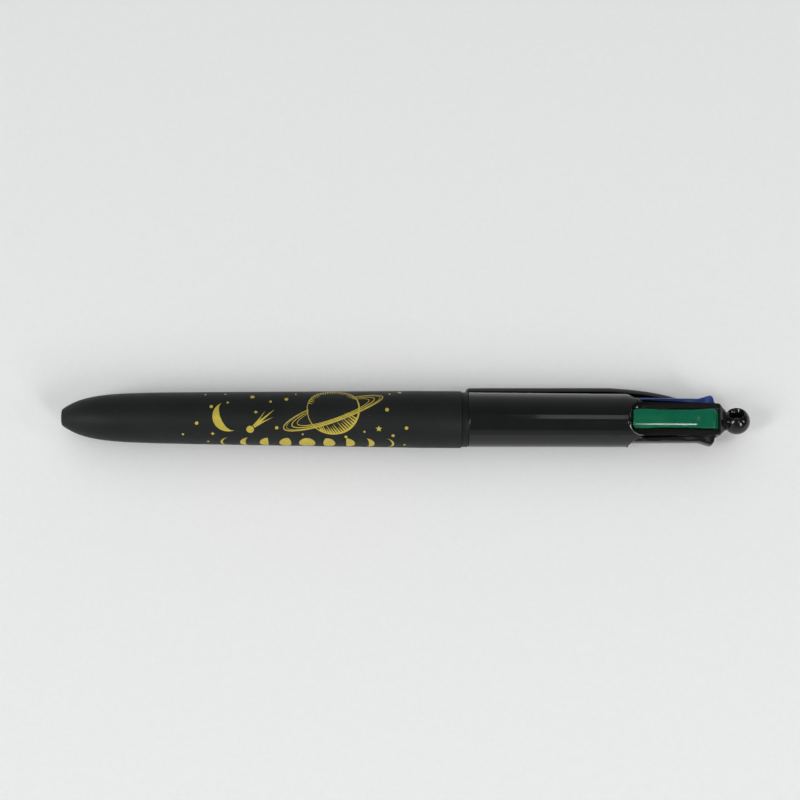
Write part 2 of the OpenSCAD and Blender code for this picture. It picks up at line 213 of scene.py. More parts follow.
class Shader:
    """A material's node tree, with short calls for what the pen's materials share."""

    def __init__(self, name):
        self.material = bpy.data.materials.new(name)
        self.material.use_nodes = True
        self.tree = self.material.node_tree
        self.surface = self.tree.nodes["Principled BSDF"]
        self.place = self.tree.nodes.new("ShaderNodeTexCoord").outputs["Object"]

    def link(self, value, socket):
        """Feeds a socket from another socket, or gives it a plain value."""
        if isinstance(value, bpy.types.NodeSocket):
            self.tree.links.new(value, socket)
        else:
            socket.default_value = value

    def add(self, kind, props=None, **inputs):
        """A new node, with its settings and the values of its inputs."""
        node = self.tree.nodes.new("ShaderNode" + kind)
        for key, value in (props or {}).items():
            setattr(node, key, value)
        for key, value in inputs.items():
            self.link(value, node.inputs[key.replace("_", " ")])
        return node

    def stretched(self, scale):
        """Object coordinates, scaled differently along each axis."""
        node = self.add("Mapping", Vector=self.place)
        node.inputs["Scale"].default_value = scale
        return node.outputs["Vector"]

    def noise(self, size_mm, detail=3.0, vector=None, roughness=0.5):
        """Noise from 0 to 1, with features of about size_mm."""
        node = self.add(
            "TexNoise", Vector=vector or self.place, Scale=1 / (size_mm * MM),
            Detail=detail, Roughness=roughness,
        )
        return node.outputs["Fac"]

    def between(self, value, low, high, start=0.3, end=0.7):
        """Maps a value to a range of numbers."""
        node = self.add("MapRange", Value=value)
        for key, number in (("From Min", start), ("From Max", end), ("To Min", low), ("To Max", high)):
            node.inputs[key].default_value = number
        return node.outputs["Result"]

    def mix(self, share, first, second):
        """Mixes two colours."""
        node = self.add("Mix", {"data_type": "RGBA"})
        self.link(share, node.inputs[0])
        self.link(first, node.inputs[6])
        self.link(second, node.inputs[7])
        return node.outputs[2]

    def bump(self, height, depth_mm):
        """A normal from a height of 0 to 1."""
        node = self.add("Bump", Height=height, Distance=depth_mm * MM, Strength=1.0)
        return node.outputs["Normal"]

    def edge_wear(self):
        """About 1 on convex edges and 0 on faces."""
        geometry = self.add("NewGeometry")
        return self.between(geometry.outputs["Pointiness"], 0, 1, 0.52, 0.62)

    def set(self, **inputs):
        """Sets the surface's inputs and returns the finished material."""
        for key, value in inputs.items():
            self.link(value, self.surface.inputs[key.replace("_", " ")])
        return self.material


def rgba(r, g, b):
    return (r, g, b, 1.0)


def shade(colour, factor, lift=0.0):
    """A colour made deeper or paler."""
    return rgba(*(min(1.0, factor * c + lift) for c in colour))


def soft_touch():
    """Matte black soft-touch lacquer, with a fine grain and faint rubbed patches."""
    s = Shader("soft_touch_lacquer")
    patches = s.noise(9, 4)
    grain = s.noise(0.07, 2)
    colour = s.mix(s.between(patches, 0, 1), rgba(0.0072, 0.0088, 0.0088), rgba(0.0105, 0.0122, 0.0120))
    dust = s.between(s.noise(0.35, 1, roughness=0.3), 0, 0.5, 0.74, 0.80)
    colour = s.mix(dust, colour, rgba(0.05, 0.052, 0.052))
    rough = s.between(s.noise(3.5, 5), 0.50, 0.58)
    return s.set(
        Base_Color=colour, Roughness=rough, Specular_IOR_Level=0.22, Normal=s.bump(grain, 0.004),
    )


def gloss_black():
    """Polished black plastic, with faint smears, hairline scratches and moulding waviness."""
    s = Shader("gloss_black_plastic")
    smears = s.noise(6, 4)
    scratches = s.noise(0.5, 2, s.stretched((0.06, 1, 1)))
    wavy = s.noise(7, 1)
    rough = s.add("Math", {"operation": "ADD"})
    s.link(s.between(smears, 0.035, 0.07), rough.inputs[0])
    s.link(s.between(scratches, 0, 0.03, 0.6, 0.75), rough.inputs[1])
    colour = s.mix(s.between(smears, 0, 1), rgba(0.0030, 0.0032, 0.0034), rgba(0.0050, 0.0052, 0.0055))
    return s.set(
        Base_Color=colour, Roughness=rough.outputs[0], IOR=1.5, Specular_IOR_Level=0.45,
        Normal=s.bump(wavy, 0.006),
    )


def satin_black():
    """The collar ring's plastic, duller than the barrel beside it."""
    s = Shader("satin_black_plastic")
    grain = s.noise(0.12, 3)
    colour = s.mix(s.between(s.noise(4, 3), 0, 1), rgba(0.0055, 0.006, 0.0062), rgba(0.008, 0.0085, 0.009))
    return s.set(
        Base_Color=colour, Roughness=s.between(grain, 0.42, 0.52), Specular_IOR_Level=0.2,
        Normal=s.bump(grain, 0.003),
    )


def tab_plastic(name, colour):
    """Coloured gloss plastic of a thumb slider, a little worn by the thumb."""
    s = Shader(name)
    smears = s.noise(3.5, 4)
    body = s.mix(s.between(smears, 0, 1), shade(colour, 0.80), shade(colour, 1.12, 0.002))
    worn = s.mix(s.edge_wear(), body, shade(colour, 1.5, 0.02))
    return s.set(
        Base_Color=worn, Roughness=s.between(s.noise(1.5, 4), 0.05, 0.10), IOR=1.5,
        Specular_IOR_Level=0.32, Subsurface_Weight=0.04, Subsurface_Radius=(0.0006, 0.0006, 0.0006),
        Normal=s.bump(s.noise(4.0, 1), 0.002),
    )


def gold_ink():
    """Screen-printed gold ink: a satin, faintly mottled metal-flake film."""
    s = Shader("gold_ink")
    flake = s.noise(0.06, 2)
    mottle = s.noise(0.8, 3)
    colour = s.mix(s.between(mottle, 0, 1), rgba(0.47, 0.37, 0.040), rgba(0.58, 0.465, 0.062))
    return s.set(
        Base_Color=colour, Metallic=0.25, Roughness=s.between(flake, 0.34, 0.55),
        Normal=s.bump(flake, 0.004),
    )


def turned_metal(name, light, dark, rough=0.22):
    """Turned metal, with fine rings across the pen's length."""
    s = Shader(name)
    rings = s.noise(0.09, 2, s.stretched((1, 0.12, 0.12)))
    tarnish = s.noise(1.4, 4)
    colour = s.mix(s.between(tarnish, 0, 1), dark, light)
    return s.set(
        Base_Color=colour, Metallic=1.0, Roughness=s.between(rings, rough * 0.7, rough * 1.5),
        Normal=s.bump(rings, 0.003),
    )


def clear_tube():
    """Milky clear extruded tube, with faint lines along it."""
    s = Shader("clear_tube")
    lines = s.noise(0.25, 2, s.stretched((0.05, 1, 1)))
    return s.set(
        Base_Color=rgba(0.86, 0.89, 0.90), Transmission_Weight=0.82, IOR=1.5,
        Roughness=s.between(lines, 0.10, 0.22), Normal=s.bump(lines, 0.004),
    )


def wet_ink(name, colour):
    """Ink paste seen through its tube, with a slow streak where it has run."""
    s = Shader(name)
    streak = s.noise(1.2, 3, s.stretched((0.15, 1, 1)))
    body = s.mix(s.between(streak, 0, 1), shade(colour, 0.75), shade(colour, 1.15, 0.001))
    return s.set(Base_Color=body, Roughness=s.between(streak, 0.15, 0.3), Coat_Weight=0.4)


def pale_plastic(name, colour, rough=0.35):
    """Uncoloured moulded plastic of the inside parts."""
    s = Shader(name)
    cloud = s.noise(1.8, 3)
    body = s.mix(s.between(cloud, 0, 1), shade(colour, 0.92), shade(colour, 1.0))
    grain = s.noise(0.1, 2)
    return s.set(
        Base_Color=body, Roughness=s.between(grain, rough * 0.85, rough * 1.2),
        Subsurface_Weight=0.1, Subsurface_Radius=(0.0008, 0.0008, 0.0007), Normal=s.bump(grain, 0.003),
    )


LACQUER = soft_touch()
GLOSS = gloss_black()
SATIN = satin_black()
GOLD = gold_ink()
BRASS = turned_metal("turned_brass", rgba(0.80, 0.60, 0.30), rgba(0.58, 0.40, 0.17))
STEEL = turned_metal("spring_wire", rgba(0.70, 0.71, 0.72), rgba(0.50, 0.51, 0.53), 0.3)
CARBIDE = turned_metal("polished_carbide", rgba(0.50, 0.51, 0.53), rgba(0.40, 0.41, 0.43), 0.1)
TUBE = clear_tube()
HOLDER = pale_plastic("holder_plastic", (0.78, 0.78, 0.74), 0.3)
GUIDE = pale_plastic("guide_plastic", (0.66, 0.66, 0.62), 0.45)
TAB = {
    "blue": tab_plastic("blue_plastic", (0.012, 0.042, 0.205)),
    "green": tab_plastic("green_plastic", (0.0004, 0.112, 0.052)),
    "red": tab_plastic("red_plastic", (0.42, 0.010, 0.018)),
    "black": tab_plastic("black_plastic", (0.0045, 0.0055, 0.0055)),
}
INK = {
    "blue": wet_ink("blue_ink", (0.006, 0.020, 0.30)),
    "green": wet_ink("green_ink", (0.0, 0.15, 0.06)),
    "red": wet_ink("red_ink", (0.40, 0.004, 0.010)),
    "black": wet_ink("black_ink", (0.005, 0.005, 0.006)),
}


# ---- lower barrel ----

BAND_LEN = 9.0      # the round band next to the joint
NOSE_BASE = 5.23    # radius that the straight taper would reach at the tip
NOSE_DROP = 3.48    # what the nose takes off it at the tip face
NOSE_FADE = 4.7     # length over which the nose rounds off
HOLE_R = 1.5
SOCKET_R = 5.0      # the socket that takes the upper barrel's spigot
SOCKET_LEN = 11.5
INNER_R = 4.2
TAPER = (band_r - NOSE_BASE) / (-tip_x - BAND_LEN)


def barrel_r(x):
    """Outer radius of the lower barrel at x."""
    u = x - tip_x
    return min(band_r, NOSE_BASE + TAPER * u - NOSE_DROP * math.exp(-u / NOSE_FADE))


def lower_barrel():
    """A turned shell: nose, taper and band outside, then the socket and the funnel to the nose hole."""
    lip, edge = 0.10, 0.15
    nose_points, nose_len, crowding = 40, 30.0, 1.8
    nose = [tip_x + nose_len * (k / nose_points) ** crowding for k in range(1, nose_points + 1)]
    taper_len = -BAND_LEN - tip_x - nose_len
    straight = [tip_x + nose_len + taper_len * k / 12 for k in range(1, 13)]
    face_r = barrel_r(tip_x)
    profile = [(tip_x + lip, HOLE_R), (tip_x + lip * 0.3, HOLE_R + lip * 0.3)]
    profile += [(tip_x, HOLE_R + lip), (tip_x, face_r - 0.04), (tip_x + 0.02, face_r)]
    profile += [(x, barrel_r(x)) for x in nose + straight]
    profile += [(-edge, band_r), (-0.04, band_r - 0.03), (0.0, band_r - 0.12)]
    profile += [(0.0, SOCKET_R + edge), (-edge, SOCKET_R)]
    profile += [(-SOCKET_LEN, SOCKET_R), (-SOCKET_LEN - 1, INNER_R)]
    # (distance from the tip face, radius)
    funnel = [(25, INNER_R), (20, 3.75), (9, 3.0), (4, 2.1), (0.4, HOLE_R)]
    profile += [(tip_x + u, r) for u, r in funnel]
    mesh = turned(profile, 192, closed=True)
    return piece(
        "lower_barrel_shell", mesh, LACQUER, "lower_barrel", ["lower_barrel"], 25,
    )


lower_barrel()


# ---- gold print on the lower barrel ----

# the print faces the way that the camera looks down on the pen
CAMERA_ELEVATION = 67.0
PRINT_FACES = math.radians(180 - CAMERA_ELEVATION)
INK_TOP = 0.018     # how far the ink stands off the lacquer
INK_ROOT = -0.02


def on_barrel(x, up, height):
    """A point above the barrel. up is the distance round it, from the line that faces the camera."""
    r = barrel_r(x)
    a = PRINT_FACES - up / r
    return (x, (r + height) * math.cos(a), (r + height) * math.sin(a))


def strip(edges, loop=False, across=2):
    """A thin film between pairs of (x, up) points, wrapped on the barrel."""
    rings = []
    for (x0, u0), (x1, u1) in edges:
        row = [(x0 + (x1 - x0) * k / across, u0 + (u1 - u0) * k / across) for k in range(across + 1)]
        top = [on_barrel(x, u, INK_TOP) for x, u in row]
        rings.append(top + [on_barrel(x, u, INK_ROOT) for x, u in reversed(row)])
    return loft(rings, loop=loop)


def line(path, widths, loop=False, across=1):
    """A drawn line along (x, up) points, with a width at each."""
    edges = []
    count = len(path)
    for i, (x, u) in enumerate(path):
        if loop:
            before, after = path[i - 1], path[(i + 1) % count]
        else:
            before, after = path[max(0, i - 1)], path[min(count - 1, i + 1)]
        dx, du = after[0] - before[0], after[1] - before[1]
        size = math.hypot(dx, du) or 1.0
        nx, nu = -du / size * widths[i] / 2, dx / size * widths[i] / 2
        edges.append(((x - nx, u - nu), (x + nx, u + nu)))
    return strip(edges, loop, across)


def fan(outline, centre):
    """A small filled shape from its outline."""
    bm = bmesh.new()
    rims = [[bm.verts.new(on_barrel(x, u, h)) for x, u in outline] for h in (INK_TOP, INK_ROOT)]
    middles = [bm.verts.new(on_barrel(*centre, h)) for h in (INK_TOP, INK_ROOT)]
    count = len(outline)
    for i in range(count):
        j = (i + 1) % count
        bm.faces.new((rims[0][i], rims[0][j], middles[0]))
        bm.faces.new((rims[1][j], rims[1][i], middles[1]))
        bm.faces.new((rims[0][j], rims[0][i], rims[1][i], rims[1][j]))
    return to_mesh(bm)


def around(x, up, sizes, start=0.0):
    """A filled outline with a point at each distance in sizes, evenly spaced round its middle."""
    outline = []
    for k, size in enumerate(sizes):
        a = start + math.tau * k / len(sizes)
        outline.append((x + size * math.cos(a), up + size * math.sin(a)))
    return fan(outline, (x, up))


def dot(x, up, r):
    return around(x, up, [r] * 16)


def star(x, up, r, points):
    waist = 0.42
    return around(x, up, [r, r * waist] * points, math.pi / 2)


def ellipse(x, up, a, b, tilt, start, end, steps):
    """Points on a tilted ellipse, from one angle to another, in degrees."""
    t = math.radians(tilt)
    path = []
    for k in range(steps + 1):
        angle = math.radians(start + (end - start) * k / steps)
        px, pu = a * math.cos(angle), b * math.sin(angle)
        path.append((x + px * math.cos(t) - pu * math.sin(t), up + px * math.sin(t) + pu * math.cos(t)))
    return path


def ringed_planet(x, up, r, tilt):
    """A planet drawn with an outline, hatched shade, and rings that pass in front of it."""
    globe_steps, ring_steps, flat = 120, 90, 0.205
    globe = ellipse(x, up, r, r, 0, 0, 360, globe_steps)[:-1]
    heavy = [max(0.0, math.cos(math.radians(k * 360 / globe_steps + 48))) for k in range(globe_steps)]
    lines = [line(globe, [0.15 + 0.26 * h for h in heavy], loop=True)]
    for size, width in ((2.02, 0.25), (1.90, 0.12), (1.68, 0.22), (1.46, 0.15)):
        a, b = r * size, r * size * flat
        hidden = math.degrees(math.acos(1.0 / size)) + 4
        near = ellipse(x, up - 0.085 * r, a, b, tilt, 180 - hidden, 360 + hidden, ring_steps)
        widths = [width * (0.5 + 0.5 * math.sin(math.pi * k / ring_steps)) for k in range(ring_steps + 1)]
        lines.append(line(near, widths))
    # shade below the rings, in slanting strokes that start on the outline
    for k in range(16):
        reach = r * (0.16 + 0.20 * abs(math.sin(1.9 * k + 0.4)) + 0.012 * k)
        lines.append(hatch(x, up, r, -118 + 6.3 * k, 112 + 2.2 * k, reach, 0.40))
    # strokes along the upper edge
    for k in range(23):
        around_at = 32 + 6.0 * k
        reach = r * (0.13 + 0.07 * abs(math.sin(2.3 * k)))
        lines.append(hatch(x, up, r, around_at, around_at + 180 - math.degrees(0.25), reach, 0.26))
    return lines


def hatch(x, up, r, around_at, slant, reach, width):
    """One short stroke that runs out to a point. It starts just inside a circle, at an angle round it."""
    steps, inside, taper = 6, 0.98, 0.92
    a, s = math.radians(around_at), math.radians(slant)
    start_x, start_up = x + r * inside * math.cos(a), up + r * inside * math.sin(a)
    path = [
        (start_x + reach * math.cos(s) * k / steps, start_up + reach * math.sin(s) * k / steps)
        for k in range(steps + 1)
    ]
    return line(path, [width * (1 - taper * k / steps) for k in range(steps + 1)])


def moon(x, up, r, phase, tilt=0.0):
    """A filled moon. phase runs from -1, a thin crescent, through 0, a half, to 1, a full disc."""
    steps = 28
    t = math.radians(tilt)
    edges = []
    for k in range(steps + 1):
        a = -math.pi / 2 + math.pi * (0.01 + 0.98 * k / steps)
        w, v = r * math.cos(a), r * math.sin(a)
        edges.append([
            (x + side * math.cos(t) - v * math.sin(t), up + side * math.sin(t) + v * math.cos(t))
            for side in (-w, phase * w * 0.96)
        ])
    return strip(edges, across=6)


def comet(x, up, r, length, tilt):
    """A round head with three tails that run out to points."""
    steps = 24
    t = math.radians(tilt)
    shapes = [dot(x, up, r)]
    for spread, share, width in ((0.0, 1.0, 0.9), (0.20, 0.72, 0.55), (-0.20, 0.80, 0.55)):
        path = []
        for k in range(steps + 1):
            d = r * 1.25 + length * share * k / steps
            bend = spread * (0.6 + 0.4 * k / steps)
            path.append((x + d * math.cos(t + bend), up + d * math.sin(t + bend)))
        widths = [r * width * (1 - 0.95 * k / steps) for k in range(steps + 1)]
        shapes.append(line(path, widths, across=2))
    return shapes


# (x, distance round the barrel, radius), in millimetres
PRINT_DOTS = (
    (-55.6, -1.0, 0.36), (-52.6, 2.6, 0.36), (-54.1, 6.2, 0.22), (-49.9, 6.4, 0.22),
    (-49.2, 3.6, 0.24), (-44.1, 5.3, 0.46), (-40.2, 3.9, 0.26), (-36.9, 4.6, 0.40),
    (-35.0, 6.4, 0.20), (-38.8, -1.9, 0.36), (-24.3, -4.0, 0.34), (-15.7, 2.1, 0.40),
    (-11.6, -1.8, 0.38), (-14.4, -3.6, 0.34), (-15.2, 6.6, 0.24), (-58.6, -3.6, 0.24),
    (-12.0, -6.6, 0.30), (-53.4, -5.9, 0.26), (-20.4, -2.7, 0.24), (-33.4, -3.4, 0.22),
    (-56.8, 9.6, 0.34), (-46.3, 10.4, 0.30), (-29.8, 10.8, 0.36), (-18.3, 9.9, 0.26),
    (-11.8, 12.0, 0.34), (-51.8, -10.6, 0.34), (-40.3, -11.8, 0.26), (-26.3, -10.2, 0.36),
    (-14.3, -11.0, 0.30), (-19.8, -14.6, 0.26), (-55.8, 14.8, 0.26), (-37.8, 15.4, 0.34),
    (-23.8, 14.2, 0.24), (-47.3, -15.2, 0.30), (-32.8, -15.0, 0.24),
)
# (x, distance round the barrel, radius, points)
PRINT_STARS = (
    (-17.4, -2.0, 0.72, 5), (-13.1, 7.4, 0.62, 5), (-52.3, -3.4, 0.50, 4), (-43.2, 1.4, 0.46, 4),
    (-33.3, 8.6, 0.70, 5), (-21.8, 11.9, 0.55, 4), (-48.8, 12.8, 0.72, 5), (-57.8, -8.2, 0.55, 5),
    (-35.4, -9.6, 0.62, 5), (-18.4, -9.0, 0.50, 4), (-28.8, 16.6, 0.80, 5), (-43.8, -13.2, 0.60, 5),
)


def gold_print():
    """The whole print as one piece."""
    shapes = ringed_planet(-27.0, 2.2, 5.45, 20)
    # a crescent moon, a comet and a row of moon phases
    shapes.append(moon(-49.0, 0.5, 3.3, -0.5, 24))
    shapes += comet(-44.4, -2.3, 0.8, 5.6, 40)
    phases = (-0.75, -0.35, 0.05, 0.45, 1.0, 0.45, 0.05, -0.35, -0.75)
    for k, phase in enumerate(phases):
        mirrored = k > len(phases) // 2
        shapes.append(moon(-49.1 + 4.15 * k, -6.2, 1.75, phase, 180 if mirrored else 0))
    for x, up, r in PRINT_DOTS:
        shapes.append(dot(x, up, r))
    for x, up, r, points in PRINT_STARS:
        shapes.append(star(x, up, r, points))
    return piece("gold_print", joined(*shapes), GOLD, "lower_barrel", angle=30)


gold_print()


# ---- collar and upper barrel ----

SPIGOT_R = 4.95     # the spigot that the collar sits on
EDGE_ROUND = 0.12
# where the barrel gets rings of edges: by the joint, before the frame's ramps, and at both ends of the frame
BARREL_RINGS = (1.9, 2.3, 31.4, 31.8, 33.4, 34.4, 34.9, 36.2, 53.4)


def joint_collar():
    """A plain ring with rounded outer edges."""
    edge = 0.10
    outer, inner = collar_hi.y, SPIGOT_R
    x0, x1 = collar_lo.x, collar_hi.x
    profile = [(x0, inner), (x0, outer - edge), (x0 + 0.03, outer - 0.03), (x0 + edge, outer)]
    profile += [(x1 - edge, outer), (x1 - 0.03, outer - 0.03), (x1, outer - edge), (x1, inner)]
    return piece(
        "joint_collar_ring", turned(profile, 160, closed=True), SATIN, "pen_body",
        ["joint_collar"], 30,
    )


def upper_barrel():
    """The CAD's barrel and slider frame, with rounded edges and even shading."""
    mesh = cut_across(bevelled(cad_copy("upper_barrel"), EDGE_ROUND), BARREL_RINGS)
    return piece("upper_barrel_shell", mesh, GLOSS, "pen_body", ["upper_barrel"], 30)


joint_collar()
upper_barrel()


# ---- clip ----

CLIP_R = 8.35           # radius of the outer face at the free end
CLIP_RISE = 0.3         # how much further out the clip is at its bend
CLIP_T = 1.5
CLIP_BEND_X = 30.0      # where the clip starts to curve down to its root
CLIP_BEND_RATE = 0.00049
CLIP_PAD_R = 4.35       # radius of the root's inner and outer faces
CLIP_TOP_R = 5.3
CLIP_HALF = 2.25        # half the width of the blade, and of the root
CLIP_ROOT_HALF = 1.3
CLIP_TAPER_X = 32.0     # where the width starts to change, and where it ends
CLIP_ROOT_X = 46.0


def clip_line(x):
    """Radius of the outer face: a gentle rise to the bend, then a curve down to the root."""
    rise = CLIP_RISE * min(1.0, (x - clip_start) / (CLIP_BEND_X - clip_start))
    return CLIP_R + rise - CLIP_BEND_RATE * max(0.0, x - CLIP_BEND_X) ** 3


def clip_out(x):
    """Radius of the outer face, root included."""
    return max(CLIP_TOP_R, clip_line(x))


def clip_in(x):
    """Radius of the inner face, with the thickness measured square to the curve."""
    slope = 3 * CLIP_BEND_RATE * max(0.0, x - CLIP_BEND_X) ** 2
    return max(CLIP_PAD_R, clip_line(x) - CLIP_T * math.hypot(1, slope))


def clip_half(x):
    """Half the clip's width: round corners at the free end, narrower towards the root."""
    corner = 1.0
    share = min(1.0, max(0.0, (x - CLIP_TAPER_X) / (CLIP_ROOT_X - CLIP_TAPER_X)))
    half = CLIP_HALF + (CLIP_ROOT_HALF - CLIP_HALF) * share
    into = min(1.0, (x - clip_start) / corner)
    return half - corner * (1 - math.sqrt(1 - (1 - into) ** 2))


def clip_section(x, inset):
    """A rectangle with rounded edges, pulled in by inset at the ends."""
    half, low, high = clip_half(x) - inset, clip_in(x) + inset, clip_out(x) - inset
    outer_edge, inner_edge, steps = 0.38, 0.15, 4
    # (side, outer face, radius of the edge, angle where its arc starts)
    corners = (
        (1, True, outer_edge, 0), (-1, True, outer_edge, 90),
        (-1, False, inner_edge, 180), (1, False, inner_edge, 270),
    )
    ring = []
    for side, outer, size, start in corners:
        size = min(size, half * 0.9, (high - low) * 0.45)
        cx = side * (half - size)
        cz = high - size if outer else low + size
        for k in range(steps + 1):
            a = math.radians(start + 90 * k / steps)
            ring.append((x, cx + size * math.cos(a), cz + size * math.sin(a)))
    return ring


def clip():
    """The blade, its root, and the half-round nub under the free end."""
    steps, first, last = 70, clip_start + 1, frame_end - 0.1
    free = [clip_start + 0.02, clip_start + 0.06, clip_start + 0.14, clip_start + 0.3, clip_start + 0.6]
    stations = free + [first + (last - first) * k / steps for k in range(steps + 1)]
    insets = {free[0]: 0.14, free[1]: 0.07, free[2]: 0.02}
    blade = loft([clip_section(x, insets.get(x, 0.0)) for x in stations] + [clip_section(frame_end, 0.1)])
    nub_x, nub_half = clip_start + 3, CLIP_HALF - 0.7
    nub_r = CLIP_R - CLIP_T - collar_hi.y - 0.02
    ends = [(-nub_half, 0.75), (-nub_half + 0.08, 0.93), (-nub_half + 0.22, 1.0)]
    ends += [(-y, s) for y, s in reversed(ends)]
    rings = [
        [
            (nub_x + s * nub_r * math.cos(a), y, CLIP_R - CLIP_T + 0.1 - s * (nub_r + 0.1) * math.sin(a))
            for a in (math.pi * k / 32 for k in range(33))
        ]
        for y, s in ends
    ]
    mesh = placed(joined(blade, loft(rings)), clip_turn)
    return piece("clip_blade", mesh, GLOSS, "clip", ["clip"], 35)


clip()


# ---- end knob ----

KNOB_R = 2.83
NECK_R = 2.02
CORD_HOLE_R = 1.0
CORD_MOUTH_R = 2.0
HOLE_LEAN = 8.0     # the cord hole leans forward at its upper mouth
FRAME_HALF = 3.38   # at the rear end of the slider frame
PLATE_T = 0.33
CONE_LEN = 1.7
FIN_T = 0.8         # the crossed fins that keep the sliders apart
FIN_R = 2.87
SQUARE = 22         # a superellipse's power for a square with tight corners


def superellipse(x, half, power):
    """A ring between a circle, at power 2, and a square, at a high power."""
    steps = 128
    ring = []
    for k in range(steps):
        a = math.tau * k / steps
        c, s = abs(math.cos(a)), abs(math.sin(a))
        r = half / (c ** power + s ** power) ** (1 / power)
        ring.append((x, r * math.cos(a), r * math.sin(a)))
    return ring


def hole_r(h):
    """Radius of the cord hole at a distance along it from the middle of the ball."""
    return CORD_HOLE_R + (CORD_MOUTH_R - CORD_HOLE_R) * (h / (KNOB_R - CORD_HOLE_R / 2)) ** 2


def ball():
    """The ball with its flared cord hole, turned about the hole, with soft rims."""
    # the hole's wall meets the ball at this distance from the middle
    rim_h = KNOB_R
    while math.hypot(hole_r(rim_h), rim_h) > KNOB_R:
        rim_h -= 0.005
    soft = 0.16
    inner = [(h, hole_r(h)) for h in ((rim_h - soft) * k / 12 for k in range(-12, 13))]
    start = math.atan2(hole_r(rim_h), rim_h) + soft / KNOB_R
    outer = [
        (KNOB_R * math.cos(a), KNOB_R * math.sin(a))
        for a in (start + (math.pi - 2 * start) * k / 40 for k in range(41))
    ]

    def rim(a, b):
        """Three points that round the corner between a and b."""
        corner = (math.copysign(rim_h, a[0]), hole_r(rim_h))
        shares = ((0.56, 0.38, 0.06), (0.25, 0.5, 0.25), (0.06, 0.38, 0.56))
        return [tuple(p * a[i] + q * corner[i] + w * b[i] for i in (0, 1)) for p, q, w in shares]

    profile = inner + rim(inner[-1], outer[0]) + outer + rim(outer[-1], inner[0])
    mesh = turned(profile, 128, closed=True)
    mesh.transform(Matrix.Rotation(math.radians(-90 - HOLE_LEAN), 4, "Y"))
    return placed(mesh, clip_turn + 90)


def end_knob():
    """The square end plate that narrows to the round neck, the ball, and the crossed fins of the core."""
    plate_x = frame_end + 0.02
    ball_x = knob_end - KNOB_R
    neck = NECK_R - 0.06
    edge = FRAME_HALF - 0.08
    # (distance along the knob, half width, power of the superellipse)
    sections = [(0.0, edge, SQUARE), (0.04, FRAME_HALF - 0.02, SQUARE), (0.09, FRAME_HALF, SQUARE)]
    sections += [(PLATE_T - 0.09, FRAME_HALF, SQUARE), (PLATE_T - 0.03, FRAME_HALF - 0.02, SQUARE)]
    for k in range(9):
        t = k / 8
        half = edge + (NECK_R - edge) * (t + 0.08 * math.sin(math.pi * t))
        sections.append((PLATE_T + 0.04 + (CONE_LEN - 0.04) * t, half, SQUARE - (SQUARE - 2.3) * t ** 0.6))
    sections += [(PLATE_T + CONE_LEN + 0.1, neck, 2.0), (PLATE_T + CONE_LEN + 0.5, neck, 2.0)]
    rings = [superellipse(plate_x + dx, half, power) for dx, half, power in sections]
    head = placed(loft(rings), clip_turn + 45)
    knob = ball()
    knob.transform(Matrix.Translation((ball_x, 0, 0)))
    half_t = FIN_T / 2
    corners = ((-half_t, -FIN_R), (half_t, -FIN_R), (half_t, FIN_R), (-half_t, FIN_R))
    fins = []
    for turn in (0, 90):
        box = [[(x, y, z) for y, z in corners] for x in (knob_lo.x, plate_x + 0.05)]
        fins.append(placed(bevelled(loft(box), 0.08, 2), clip_turn + turn))
    mesh = joined(head, knob, *fins)
    return piece("knob_and_core", mesh, GLOSS, "pen_body", ["end_knob"], 32)


end_knob()


# ---- sliders ----

SLIM_HALF = 1.87        # the slim part is a little narrower than the front and the bump
BUMP_HALF = 2.05
TAB_TOP = 4.85          # height of the slim top at its front end
BUMP_TOP = 5.44         # height of the crest
BUMP_FALL = 1.2         # how far the round behind the crest falls
TAB_X = 35.9
TAB_END = frame_end - 0.1
BUMP_X = TAB_END - 4.0
CREST_X = TAB_END - 1.4
HEEL_X = TAB_END - 0.65
TAB_SLOPE = 0.1 / (BUMP_X - TAB_X)
WIDE_X = 38.8           # the front is as wide as the bump up to here, and slim from SLIM_X
SLIM_X = 42.0
BOSS_X = 31.0           # the boss that the spring pushes on, round the refill's axis
BOSS_R = 1.5
BOSS_LEN = 6.5
PLUG_R = 0.84           # the plug that holds the ink tube
REFILL_OFF = 2.3        # from the pen's axis to a refill's


def tab_top(x):
    """Height of the middle of the tab's crown: a slim top that slopes down, the bump, and the heel."""
    nose, nose_drop, straight = 0.45, 0.40, 0.6
    slim = TAB_TOP - TAB_SLOPE * (x - TAB_X)
    if x < TAB_X + nose:
        t = (TAB_X + nose - x) / nose
        return slim - nose_drop * (1 - math.sqrt(max(0.0, 1 - t * t)))
    if x <= CREST_X:
        t = max(0.0, (x - BUMP_X) / (CREST_X - BUMP_X))
        rise = straight * t + (1 - straight) * (1 - math.cos(math.pi * t)) / 2
        return slim + (BUMP_TOP - slim) * rise * min(1.0, 0.5 + 2 * t)
    if x <= HEEL_X:
        t = (x - CREST_X) / (HEEL_X - CREST_X)
        return BUMP_TOP - BUMP_FALL * (1 - math.sqrt(1 - t * t))
    t = (x - HEEL_X) / (TAB_END - HEEL_X)
    return BUMP_TOP - BUMP_FALL + (FRAME_HALF - BUMP_TOP + BUMP_FALL) * t


def tab_half(x):
    """Half the tab's width, rounded at its front corners, and wider at its front and at the bump."""
    corner = 0.75
    into = min(1.0, max(0.0, (x - TAB_X) / corner))
    to_bump = (x - BUMP_X + 3) / (CREST_X - BUMP_X + 3)
    to_front = (SLIM_X - x) / (SLIM_X - WIDE_X)
    wide = min(1.0, max(0.0, to_bump, to_front))
    half = SLIM_HALF + (BUMP_HALF - SLIM_HALF) * wide * wide * (3 - 2 * wide)
    return half - corner * (1 - math.sqrt(1 - (1 - into) ** 2))


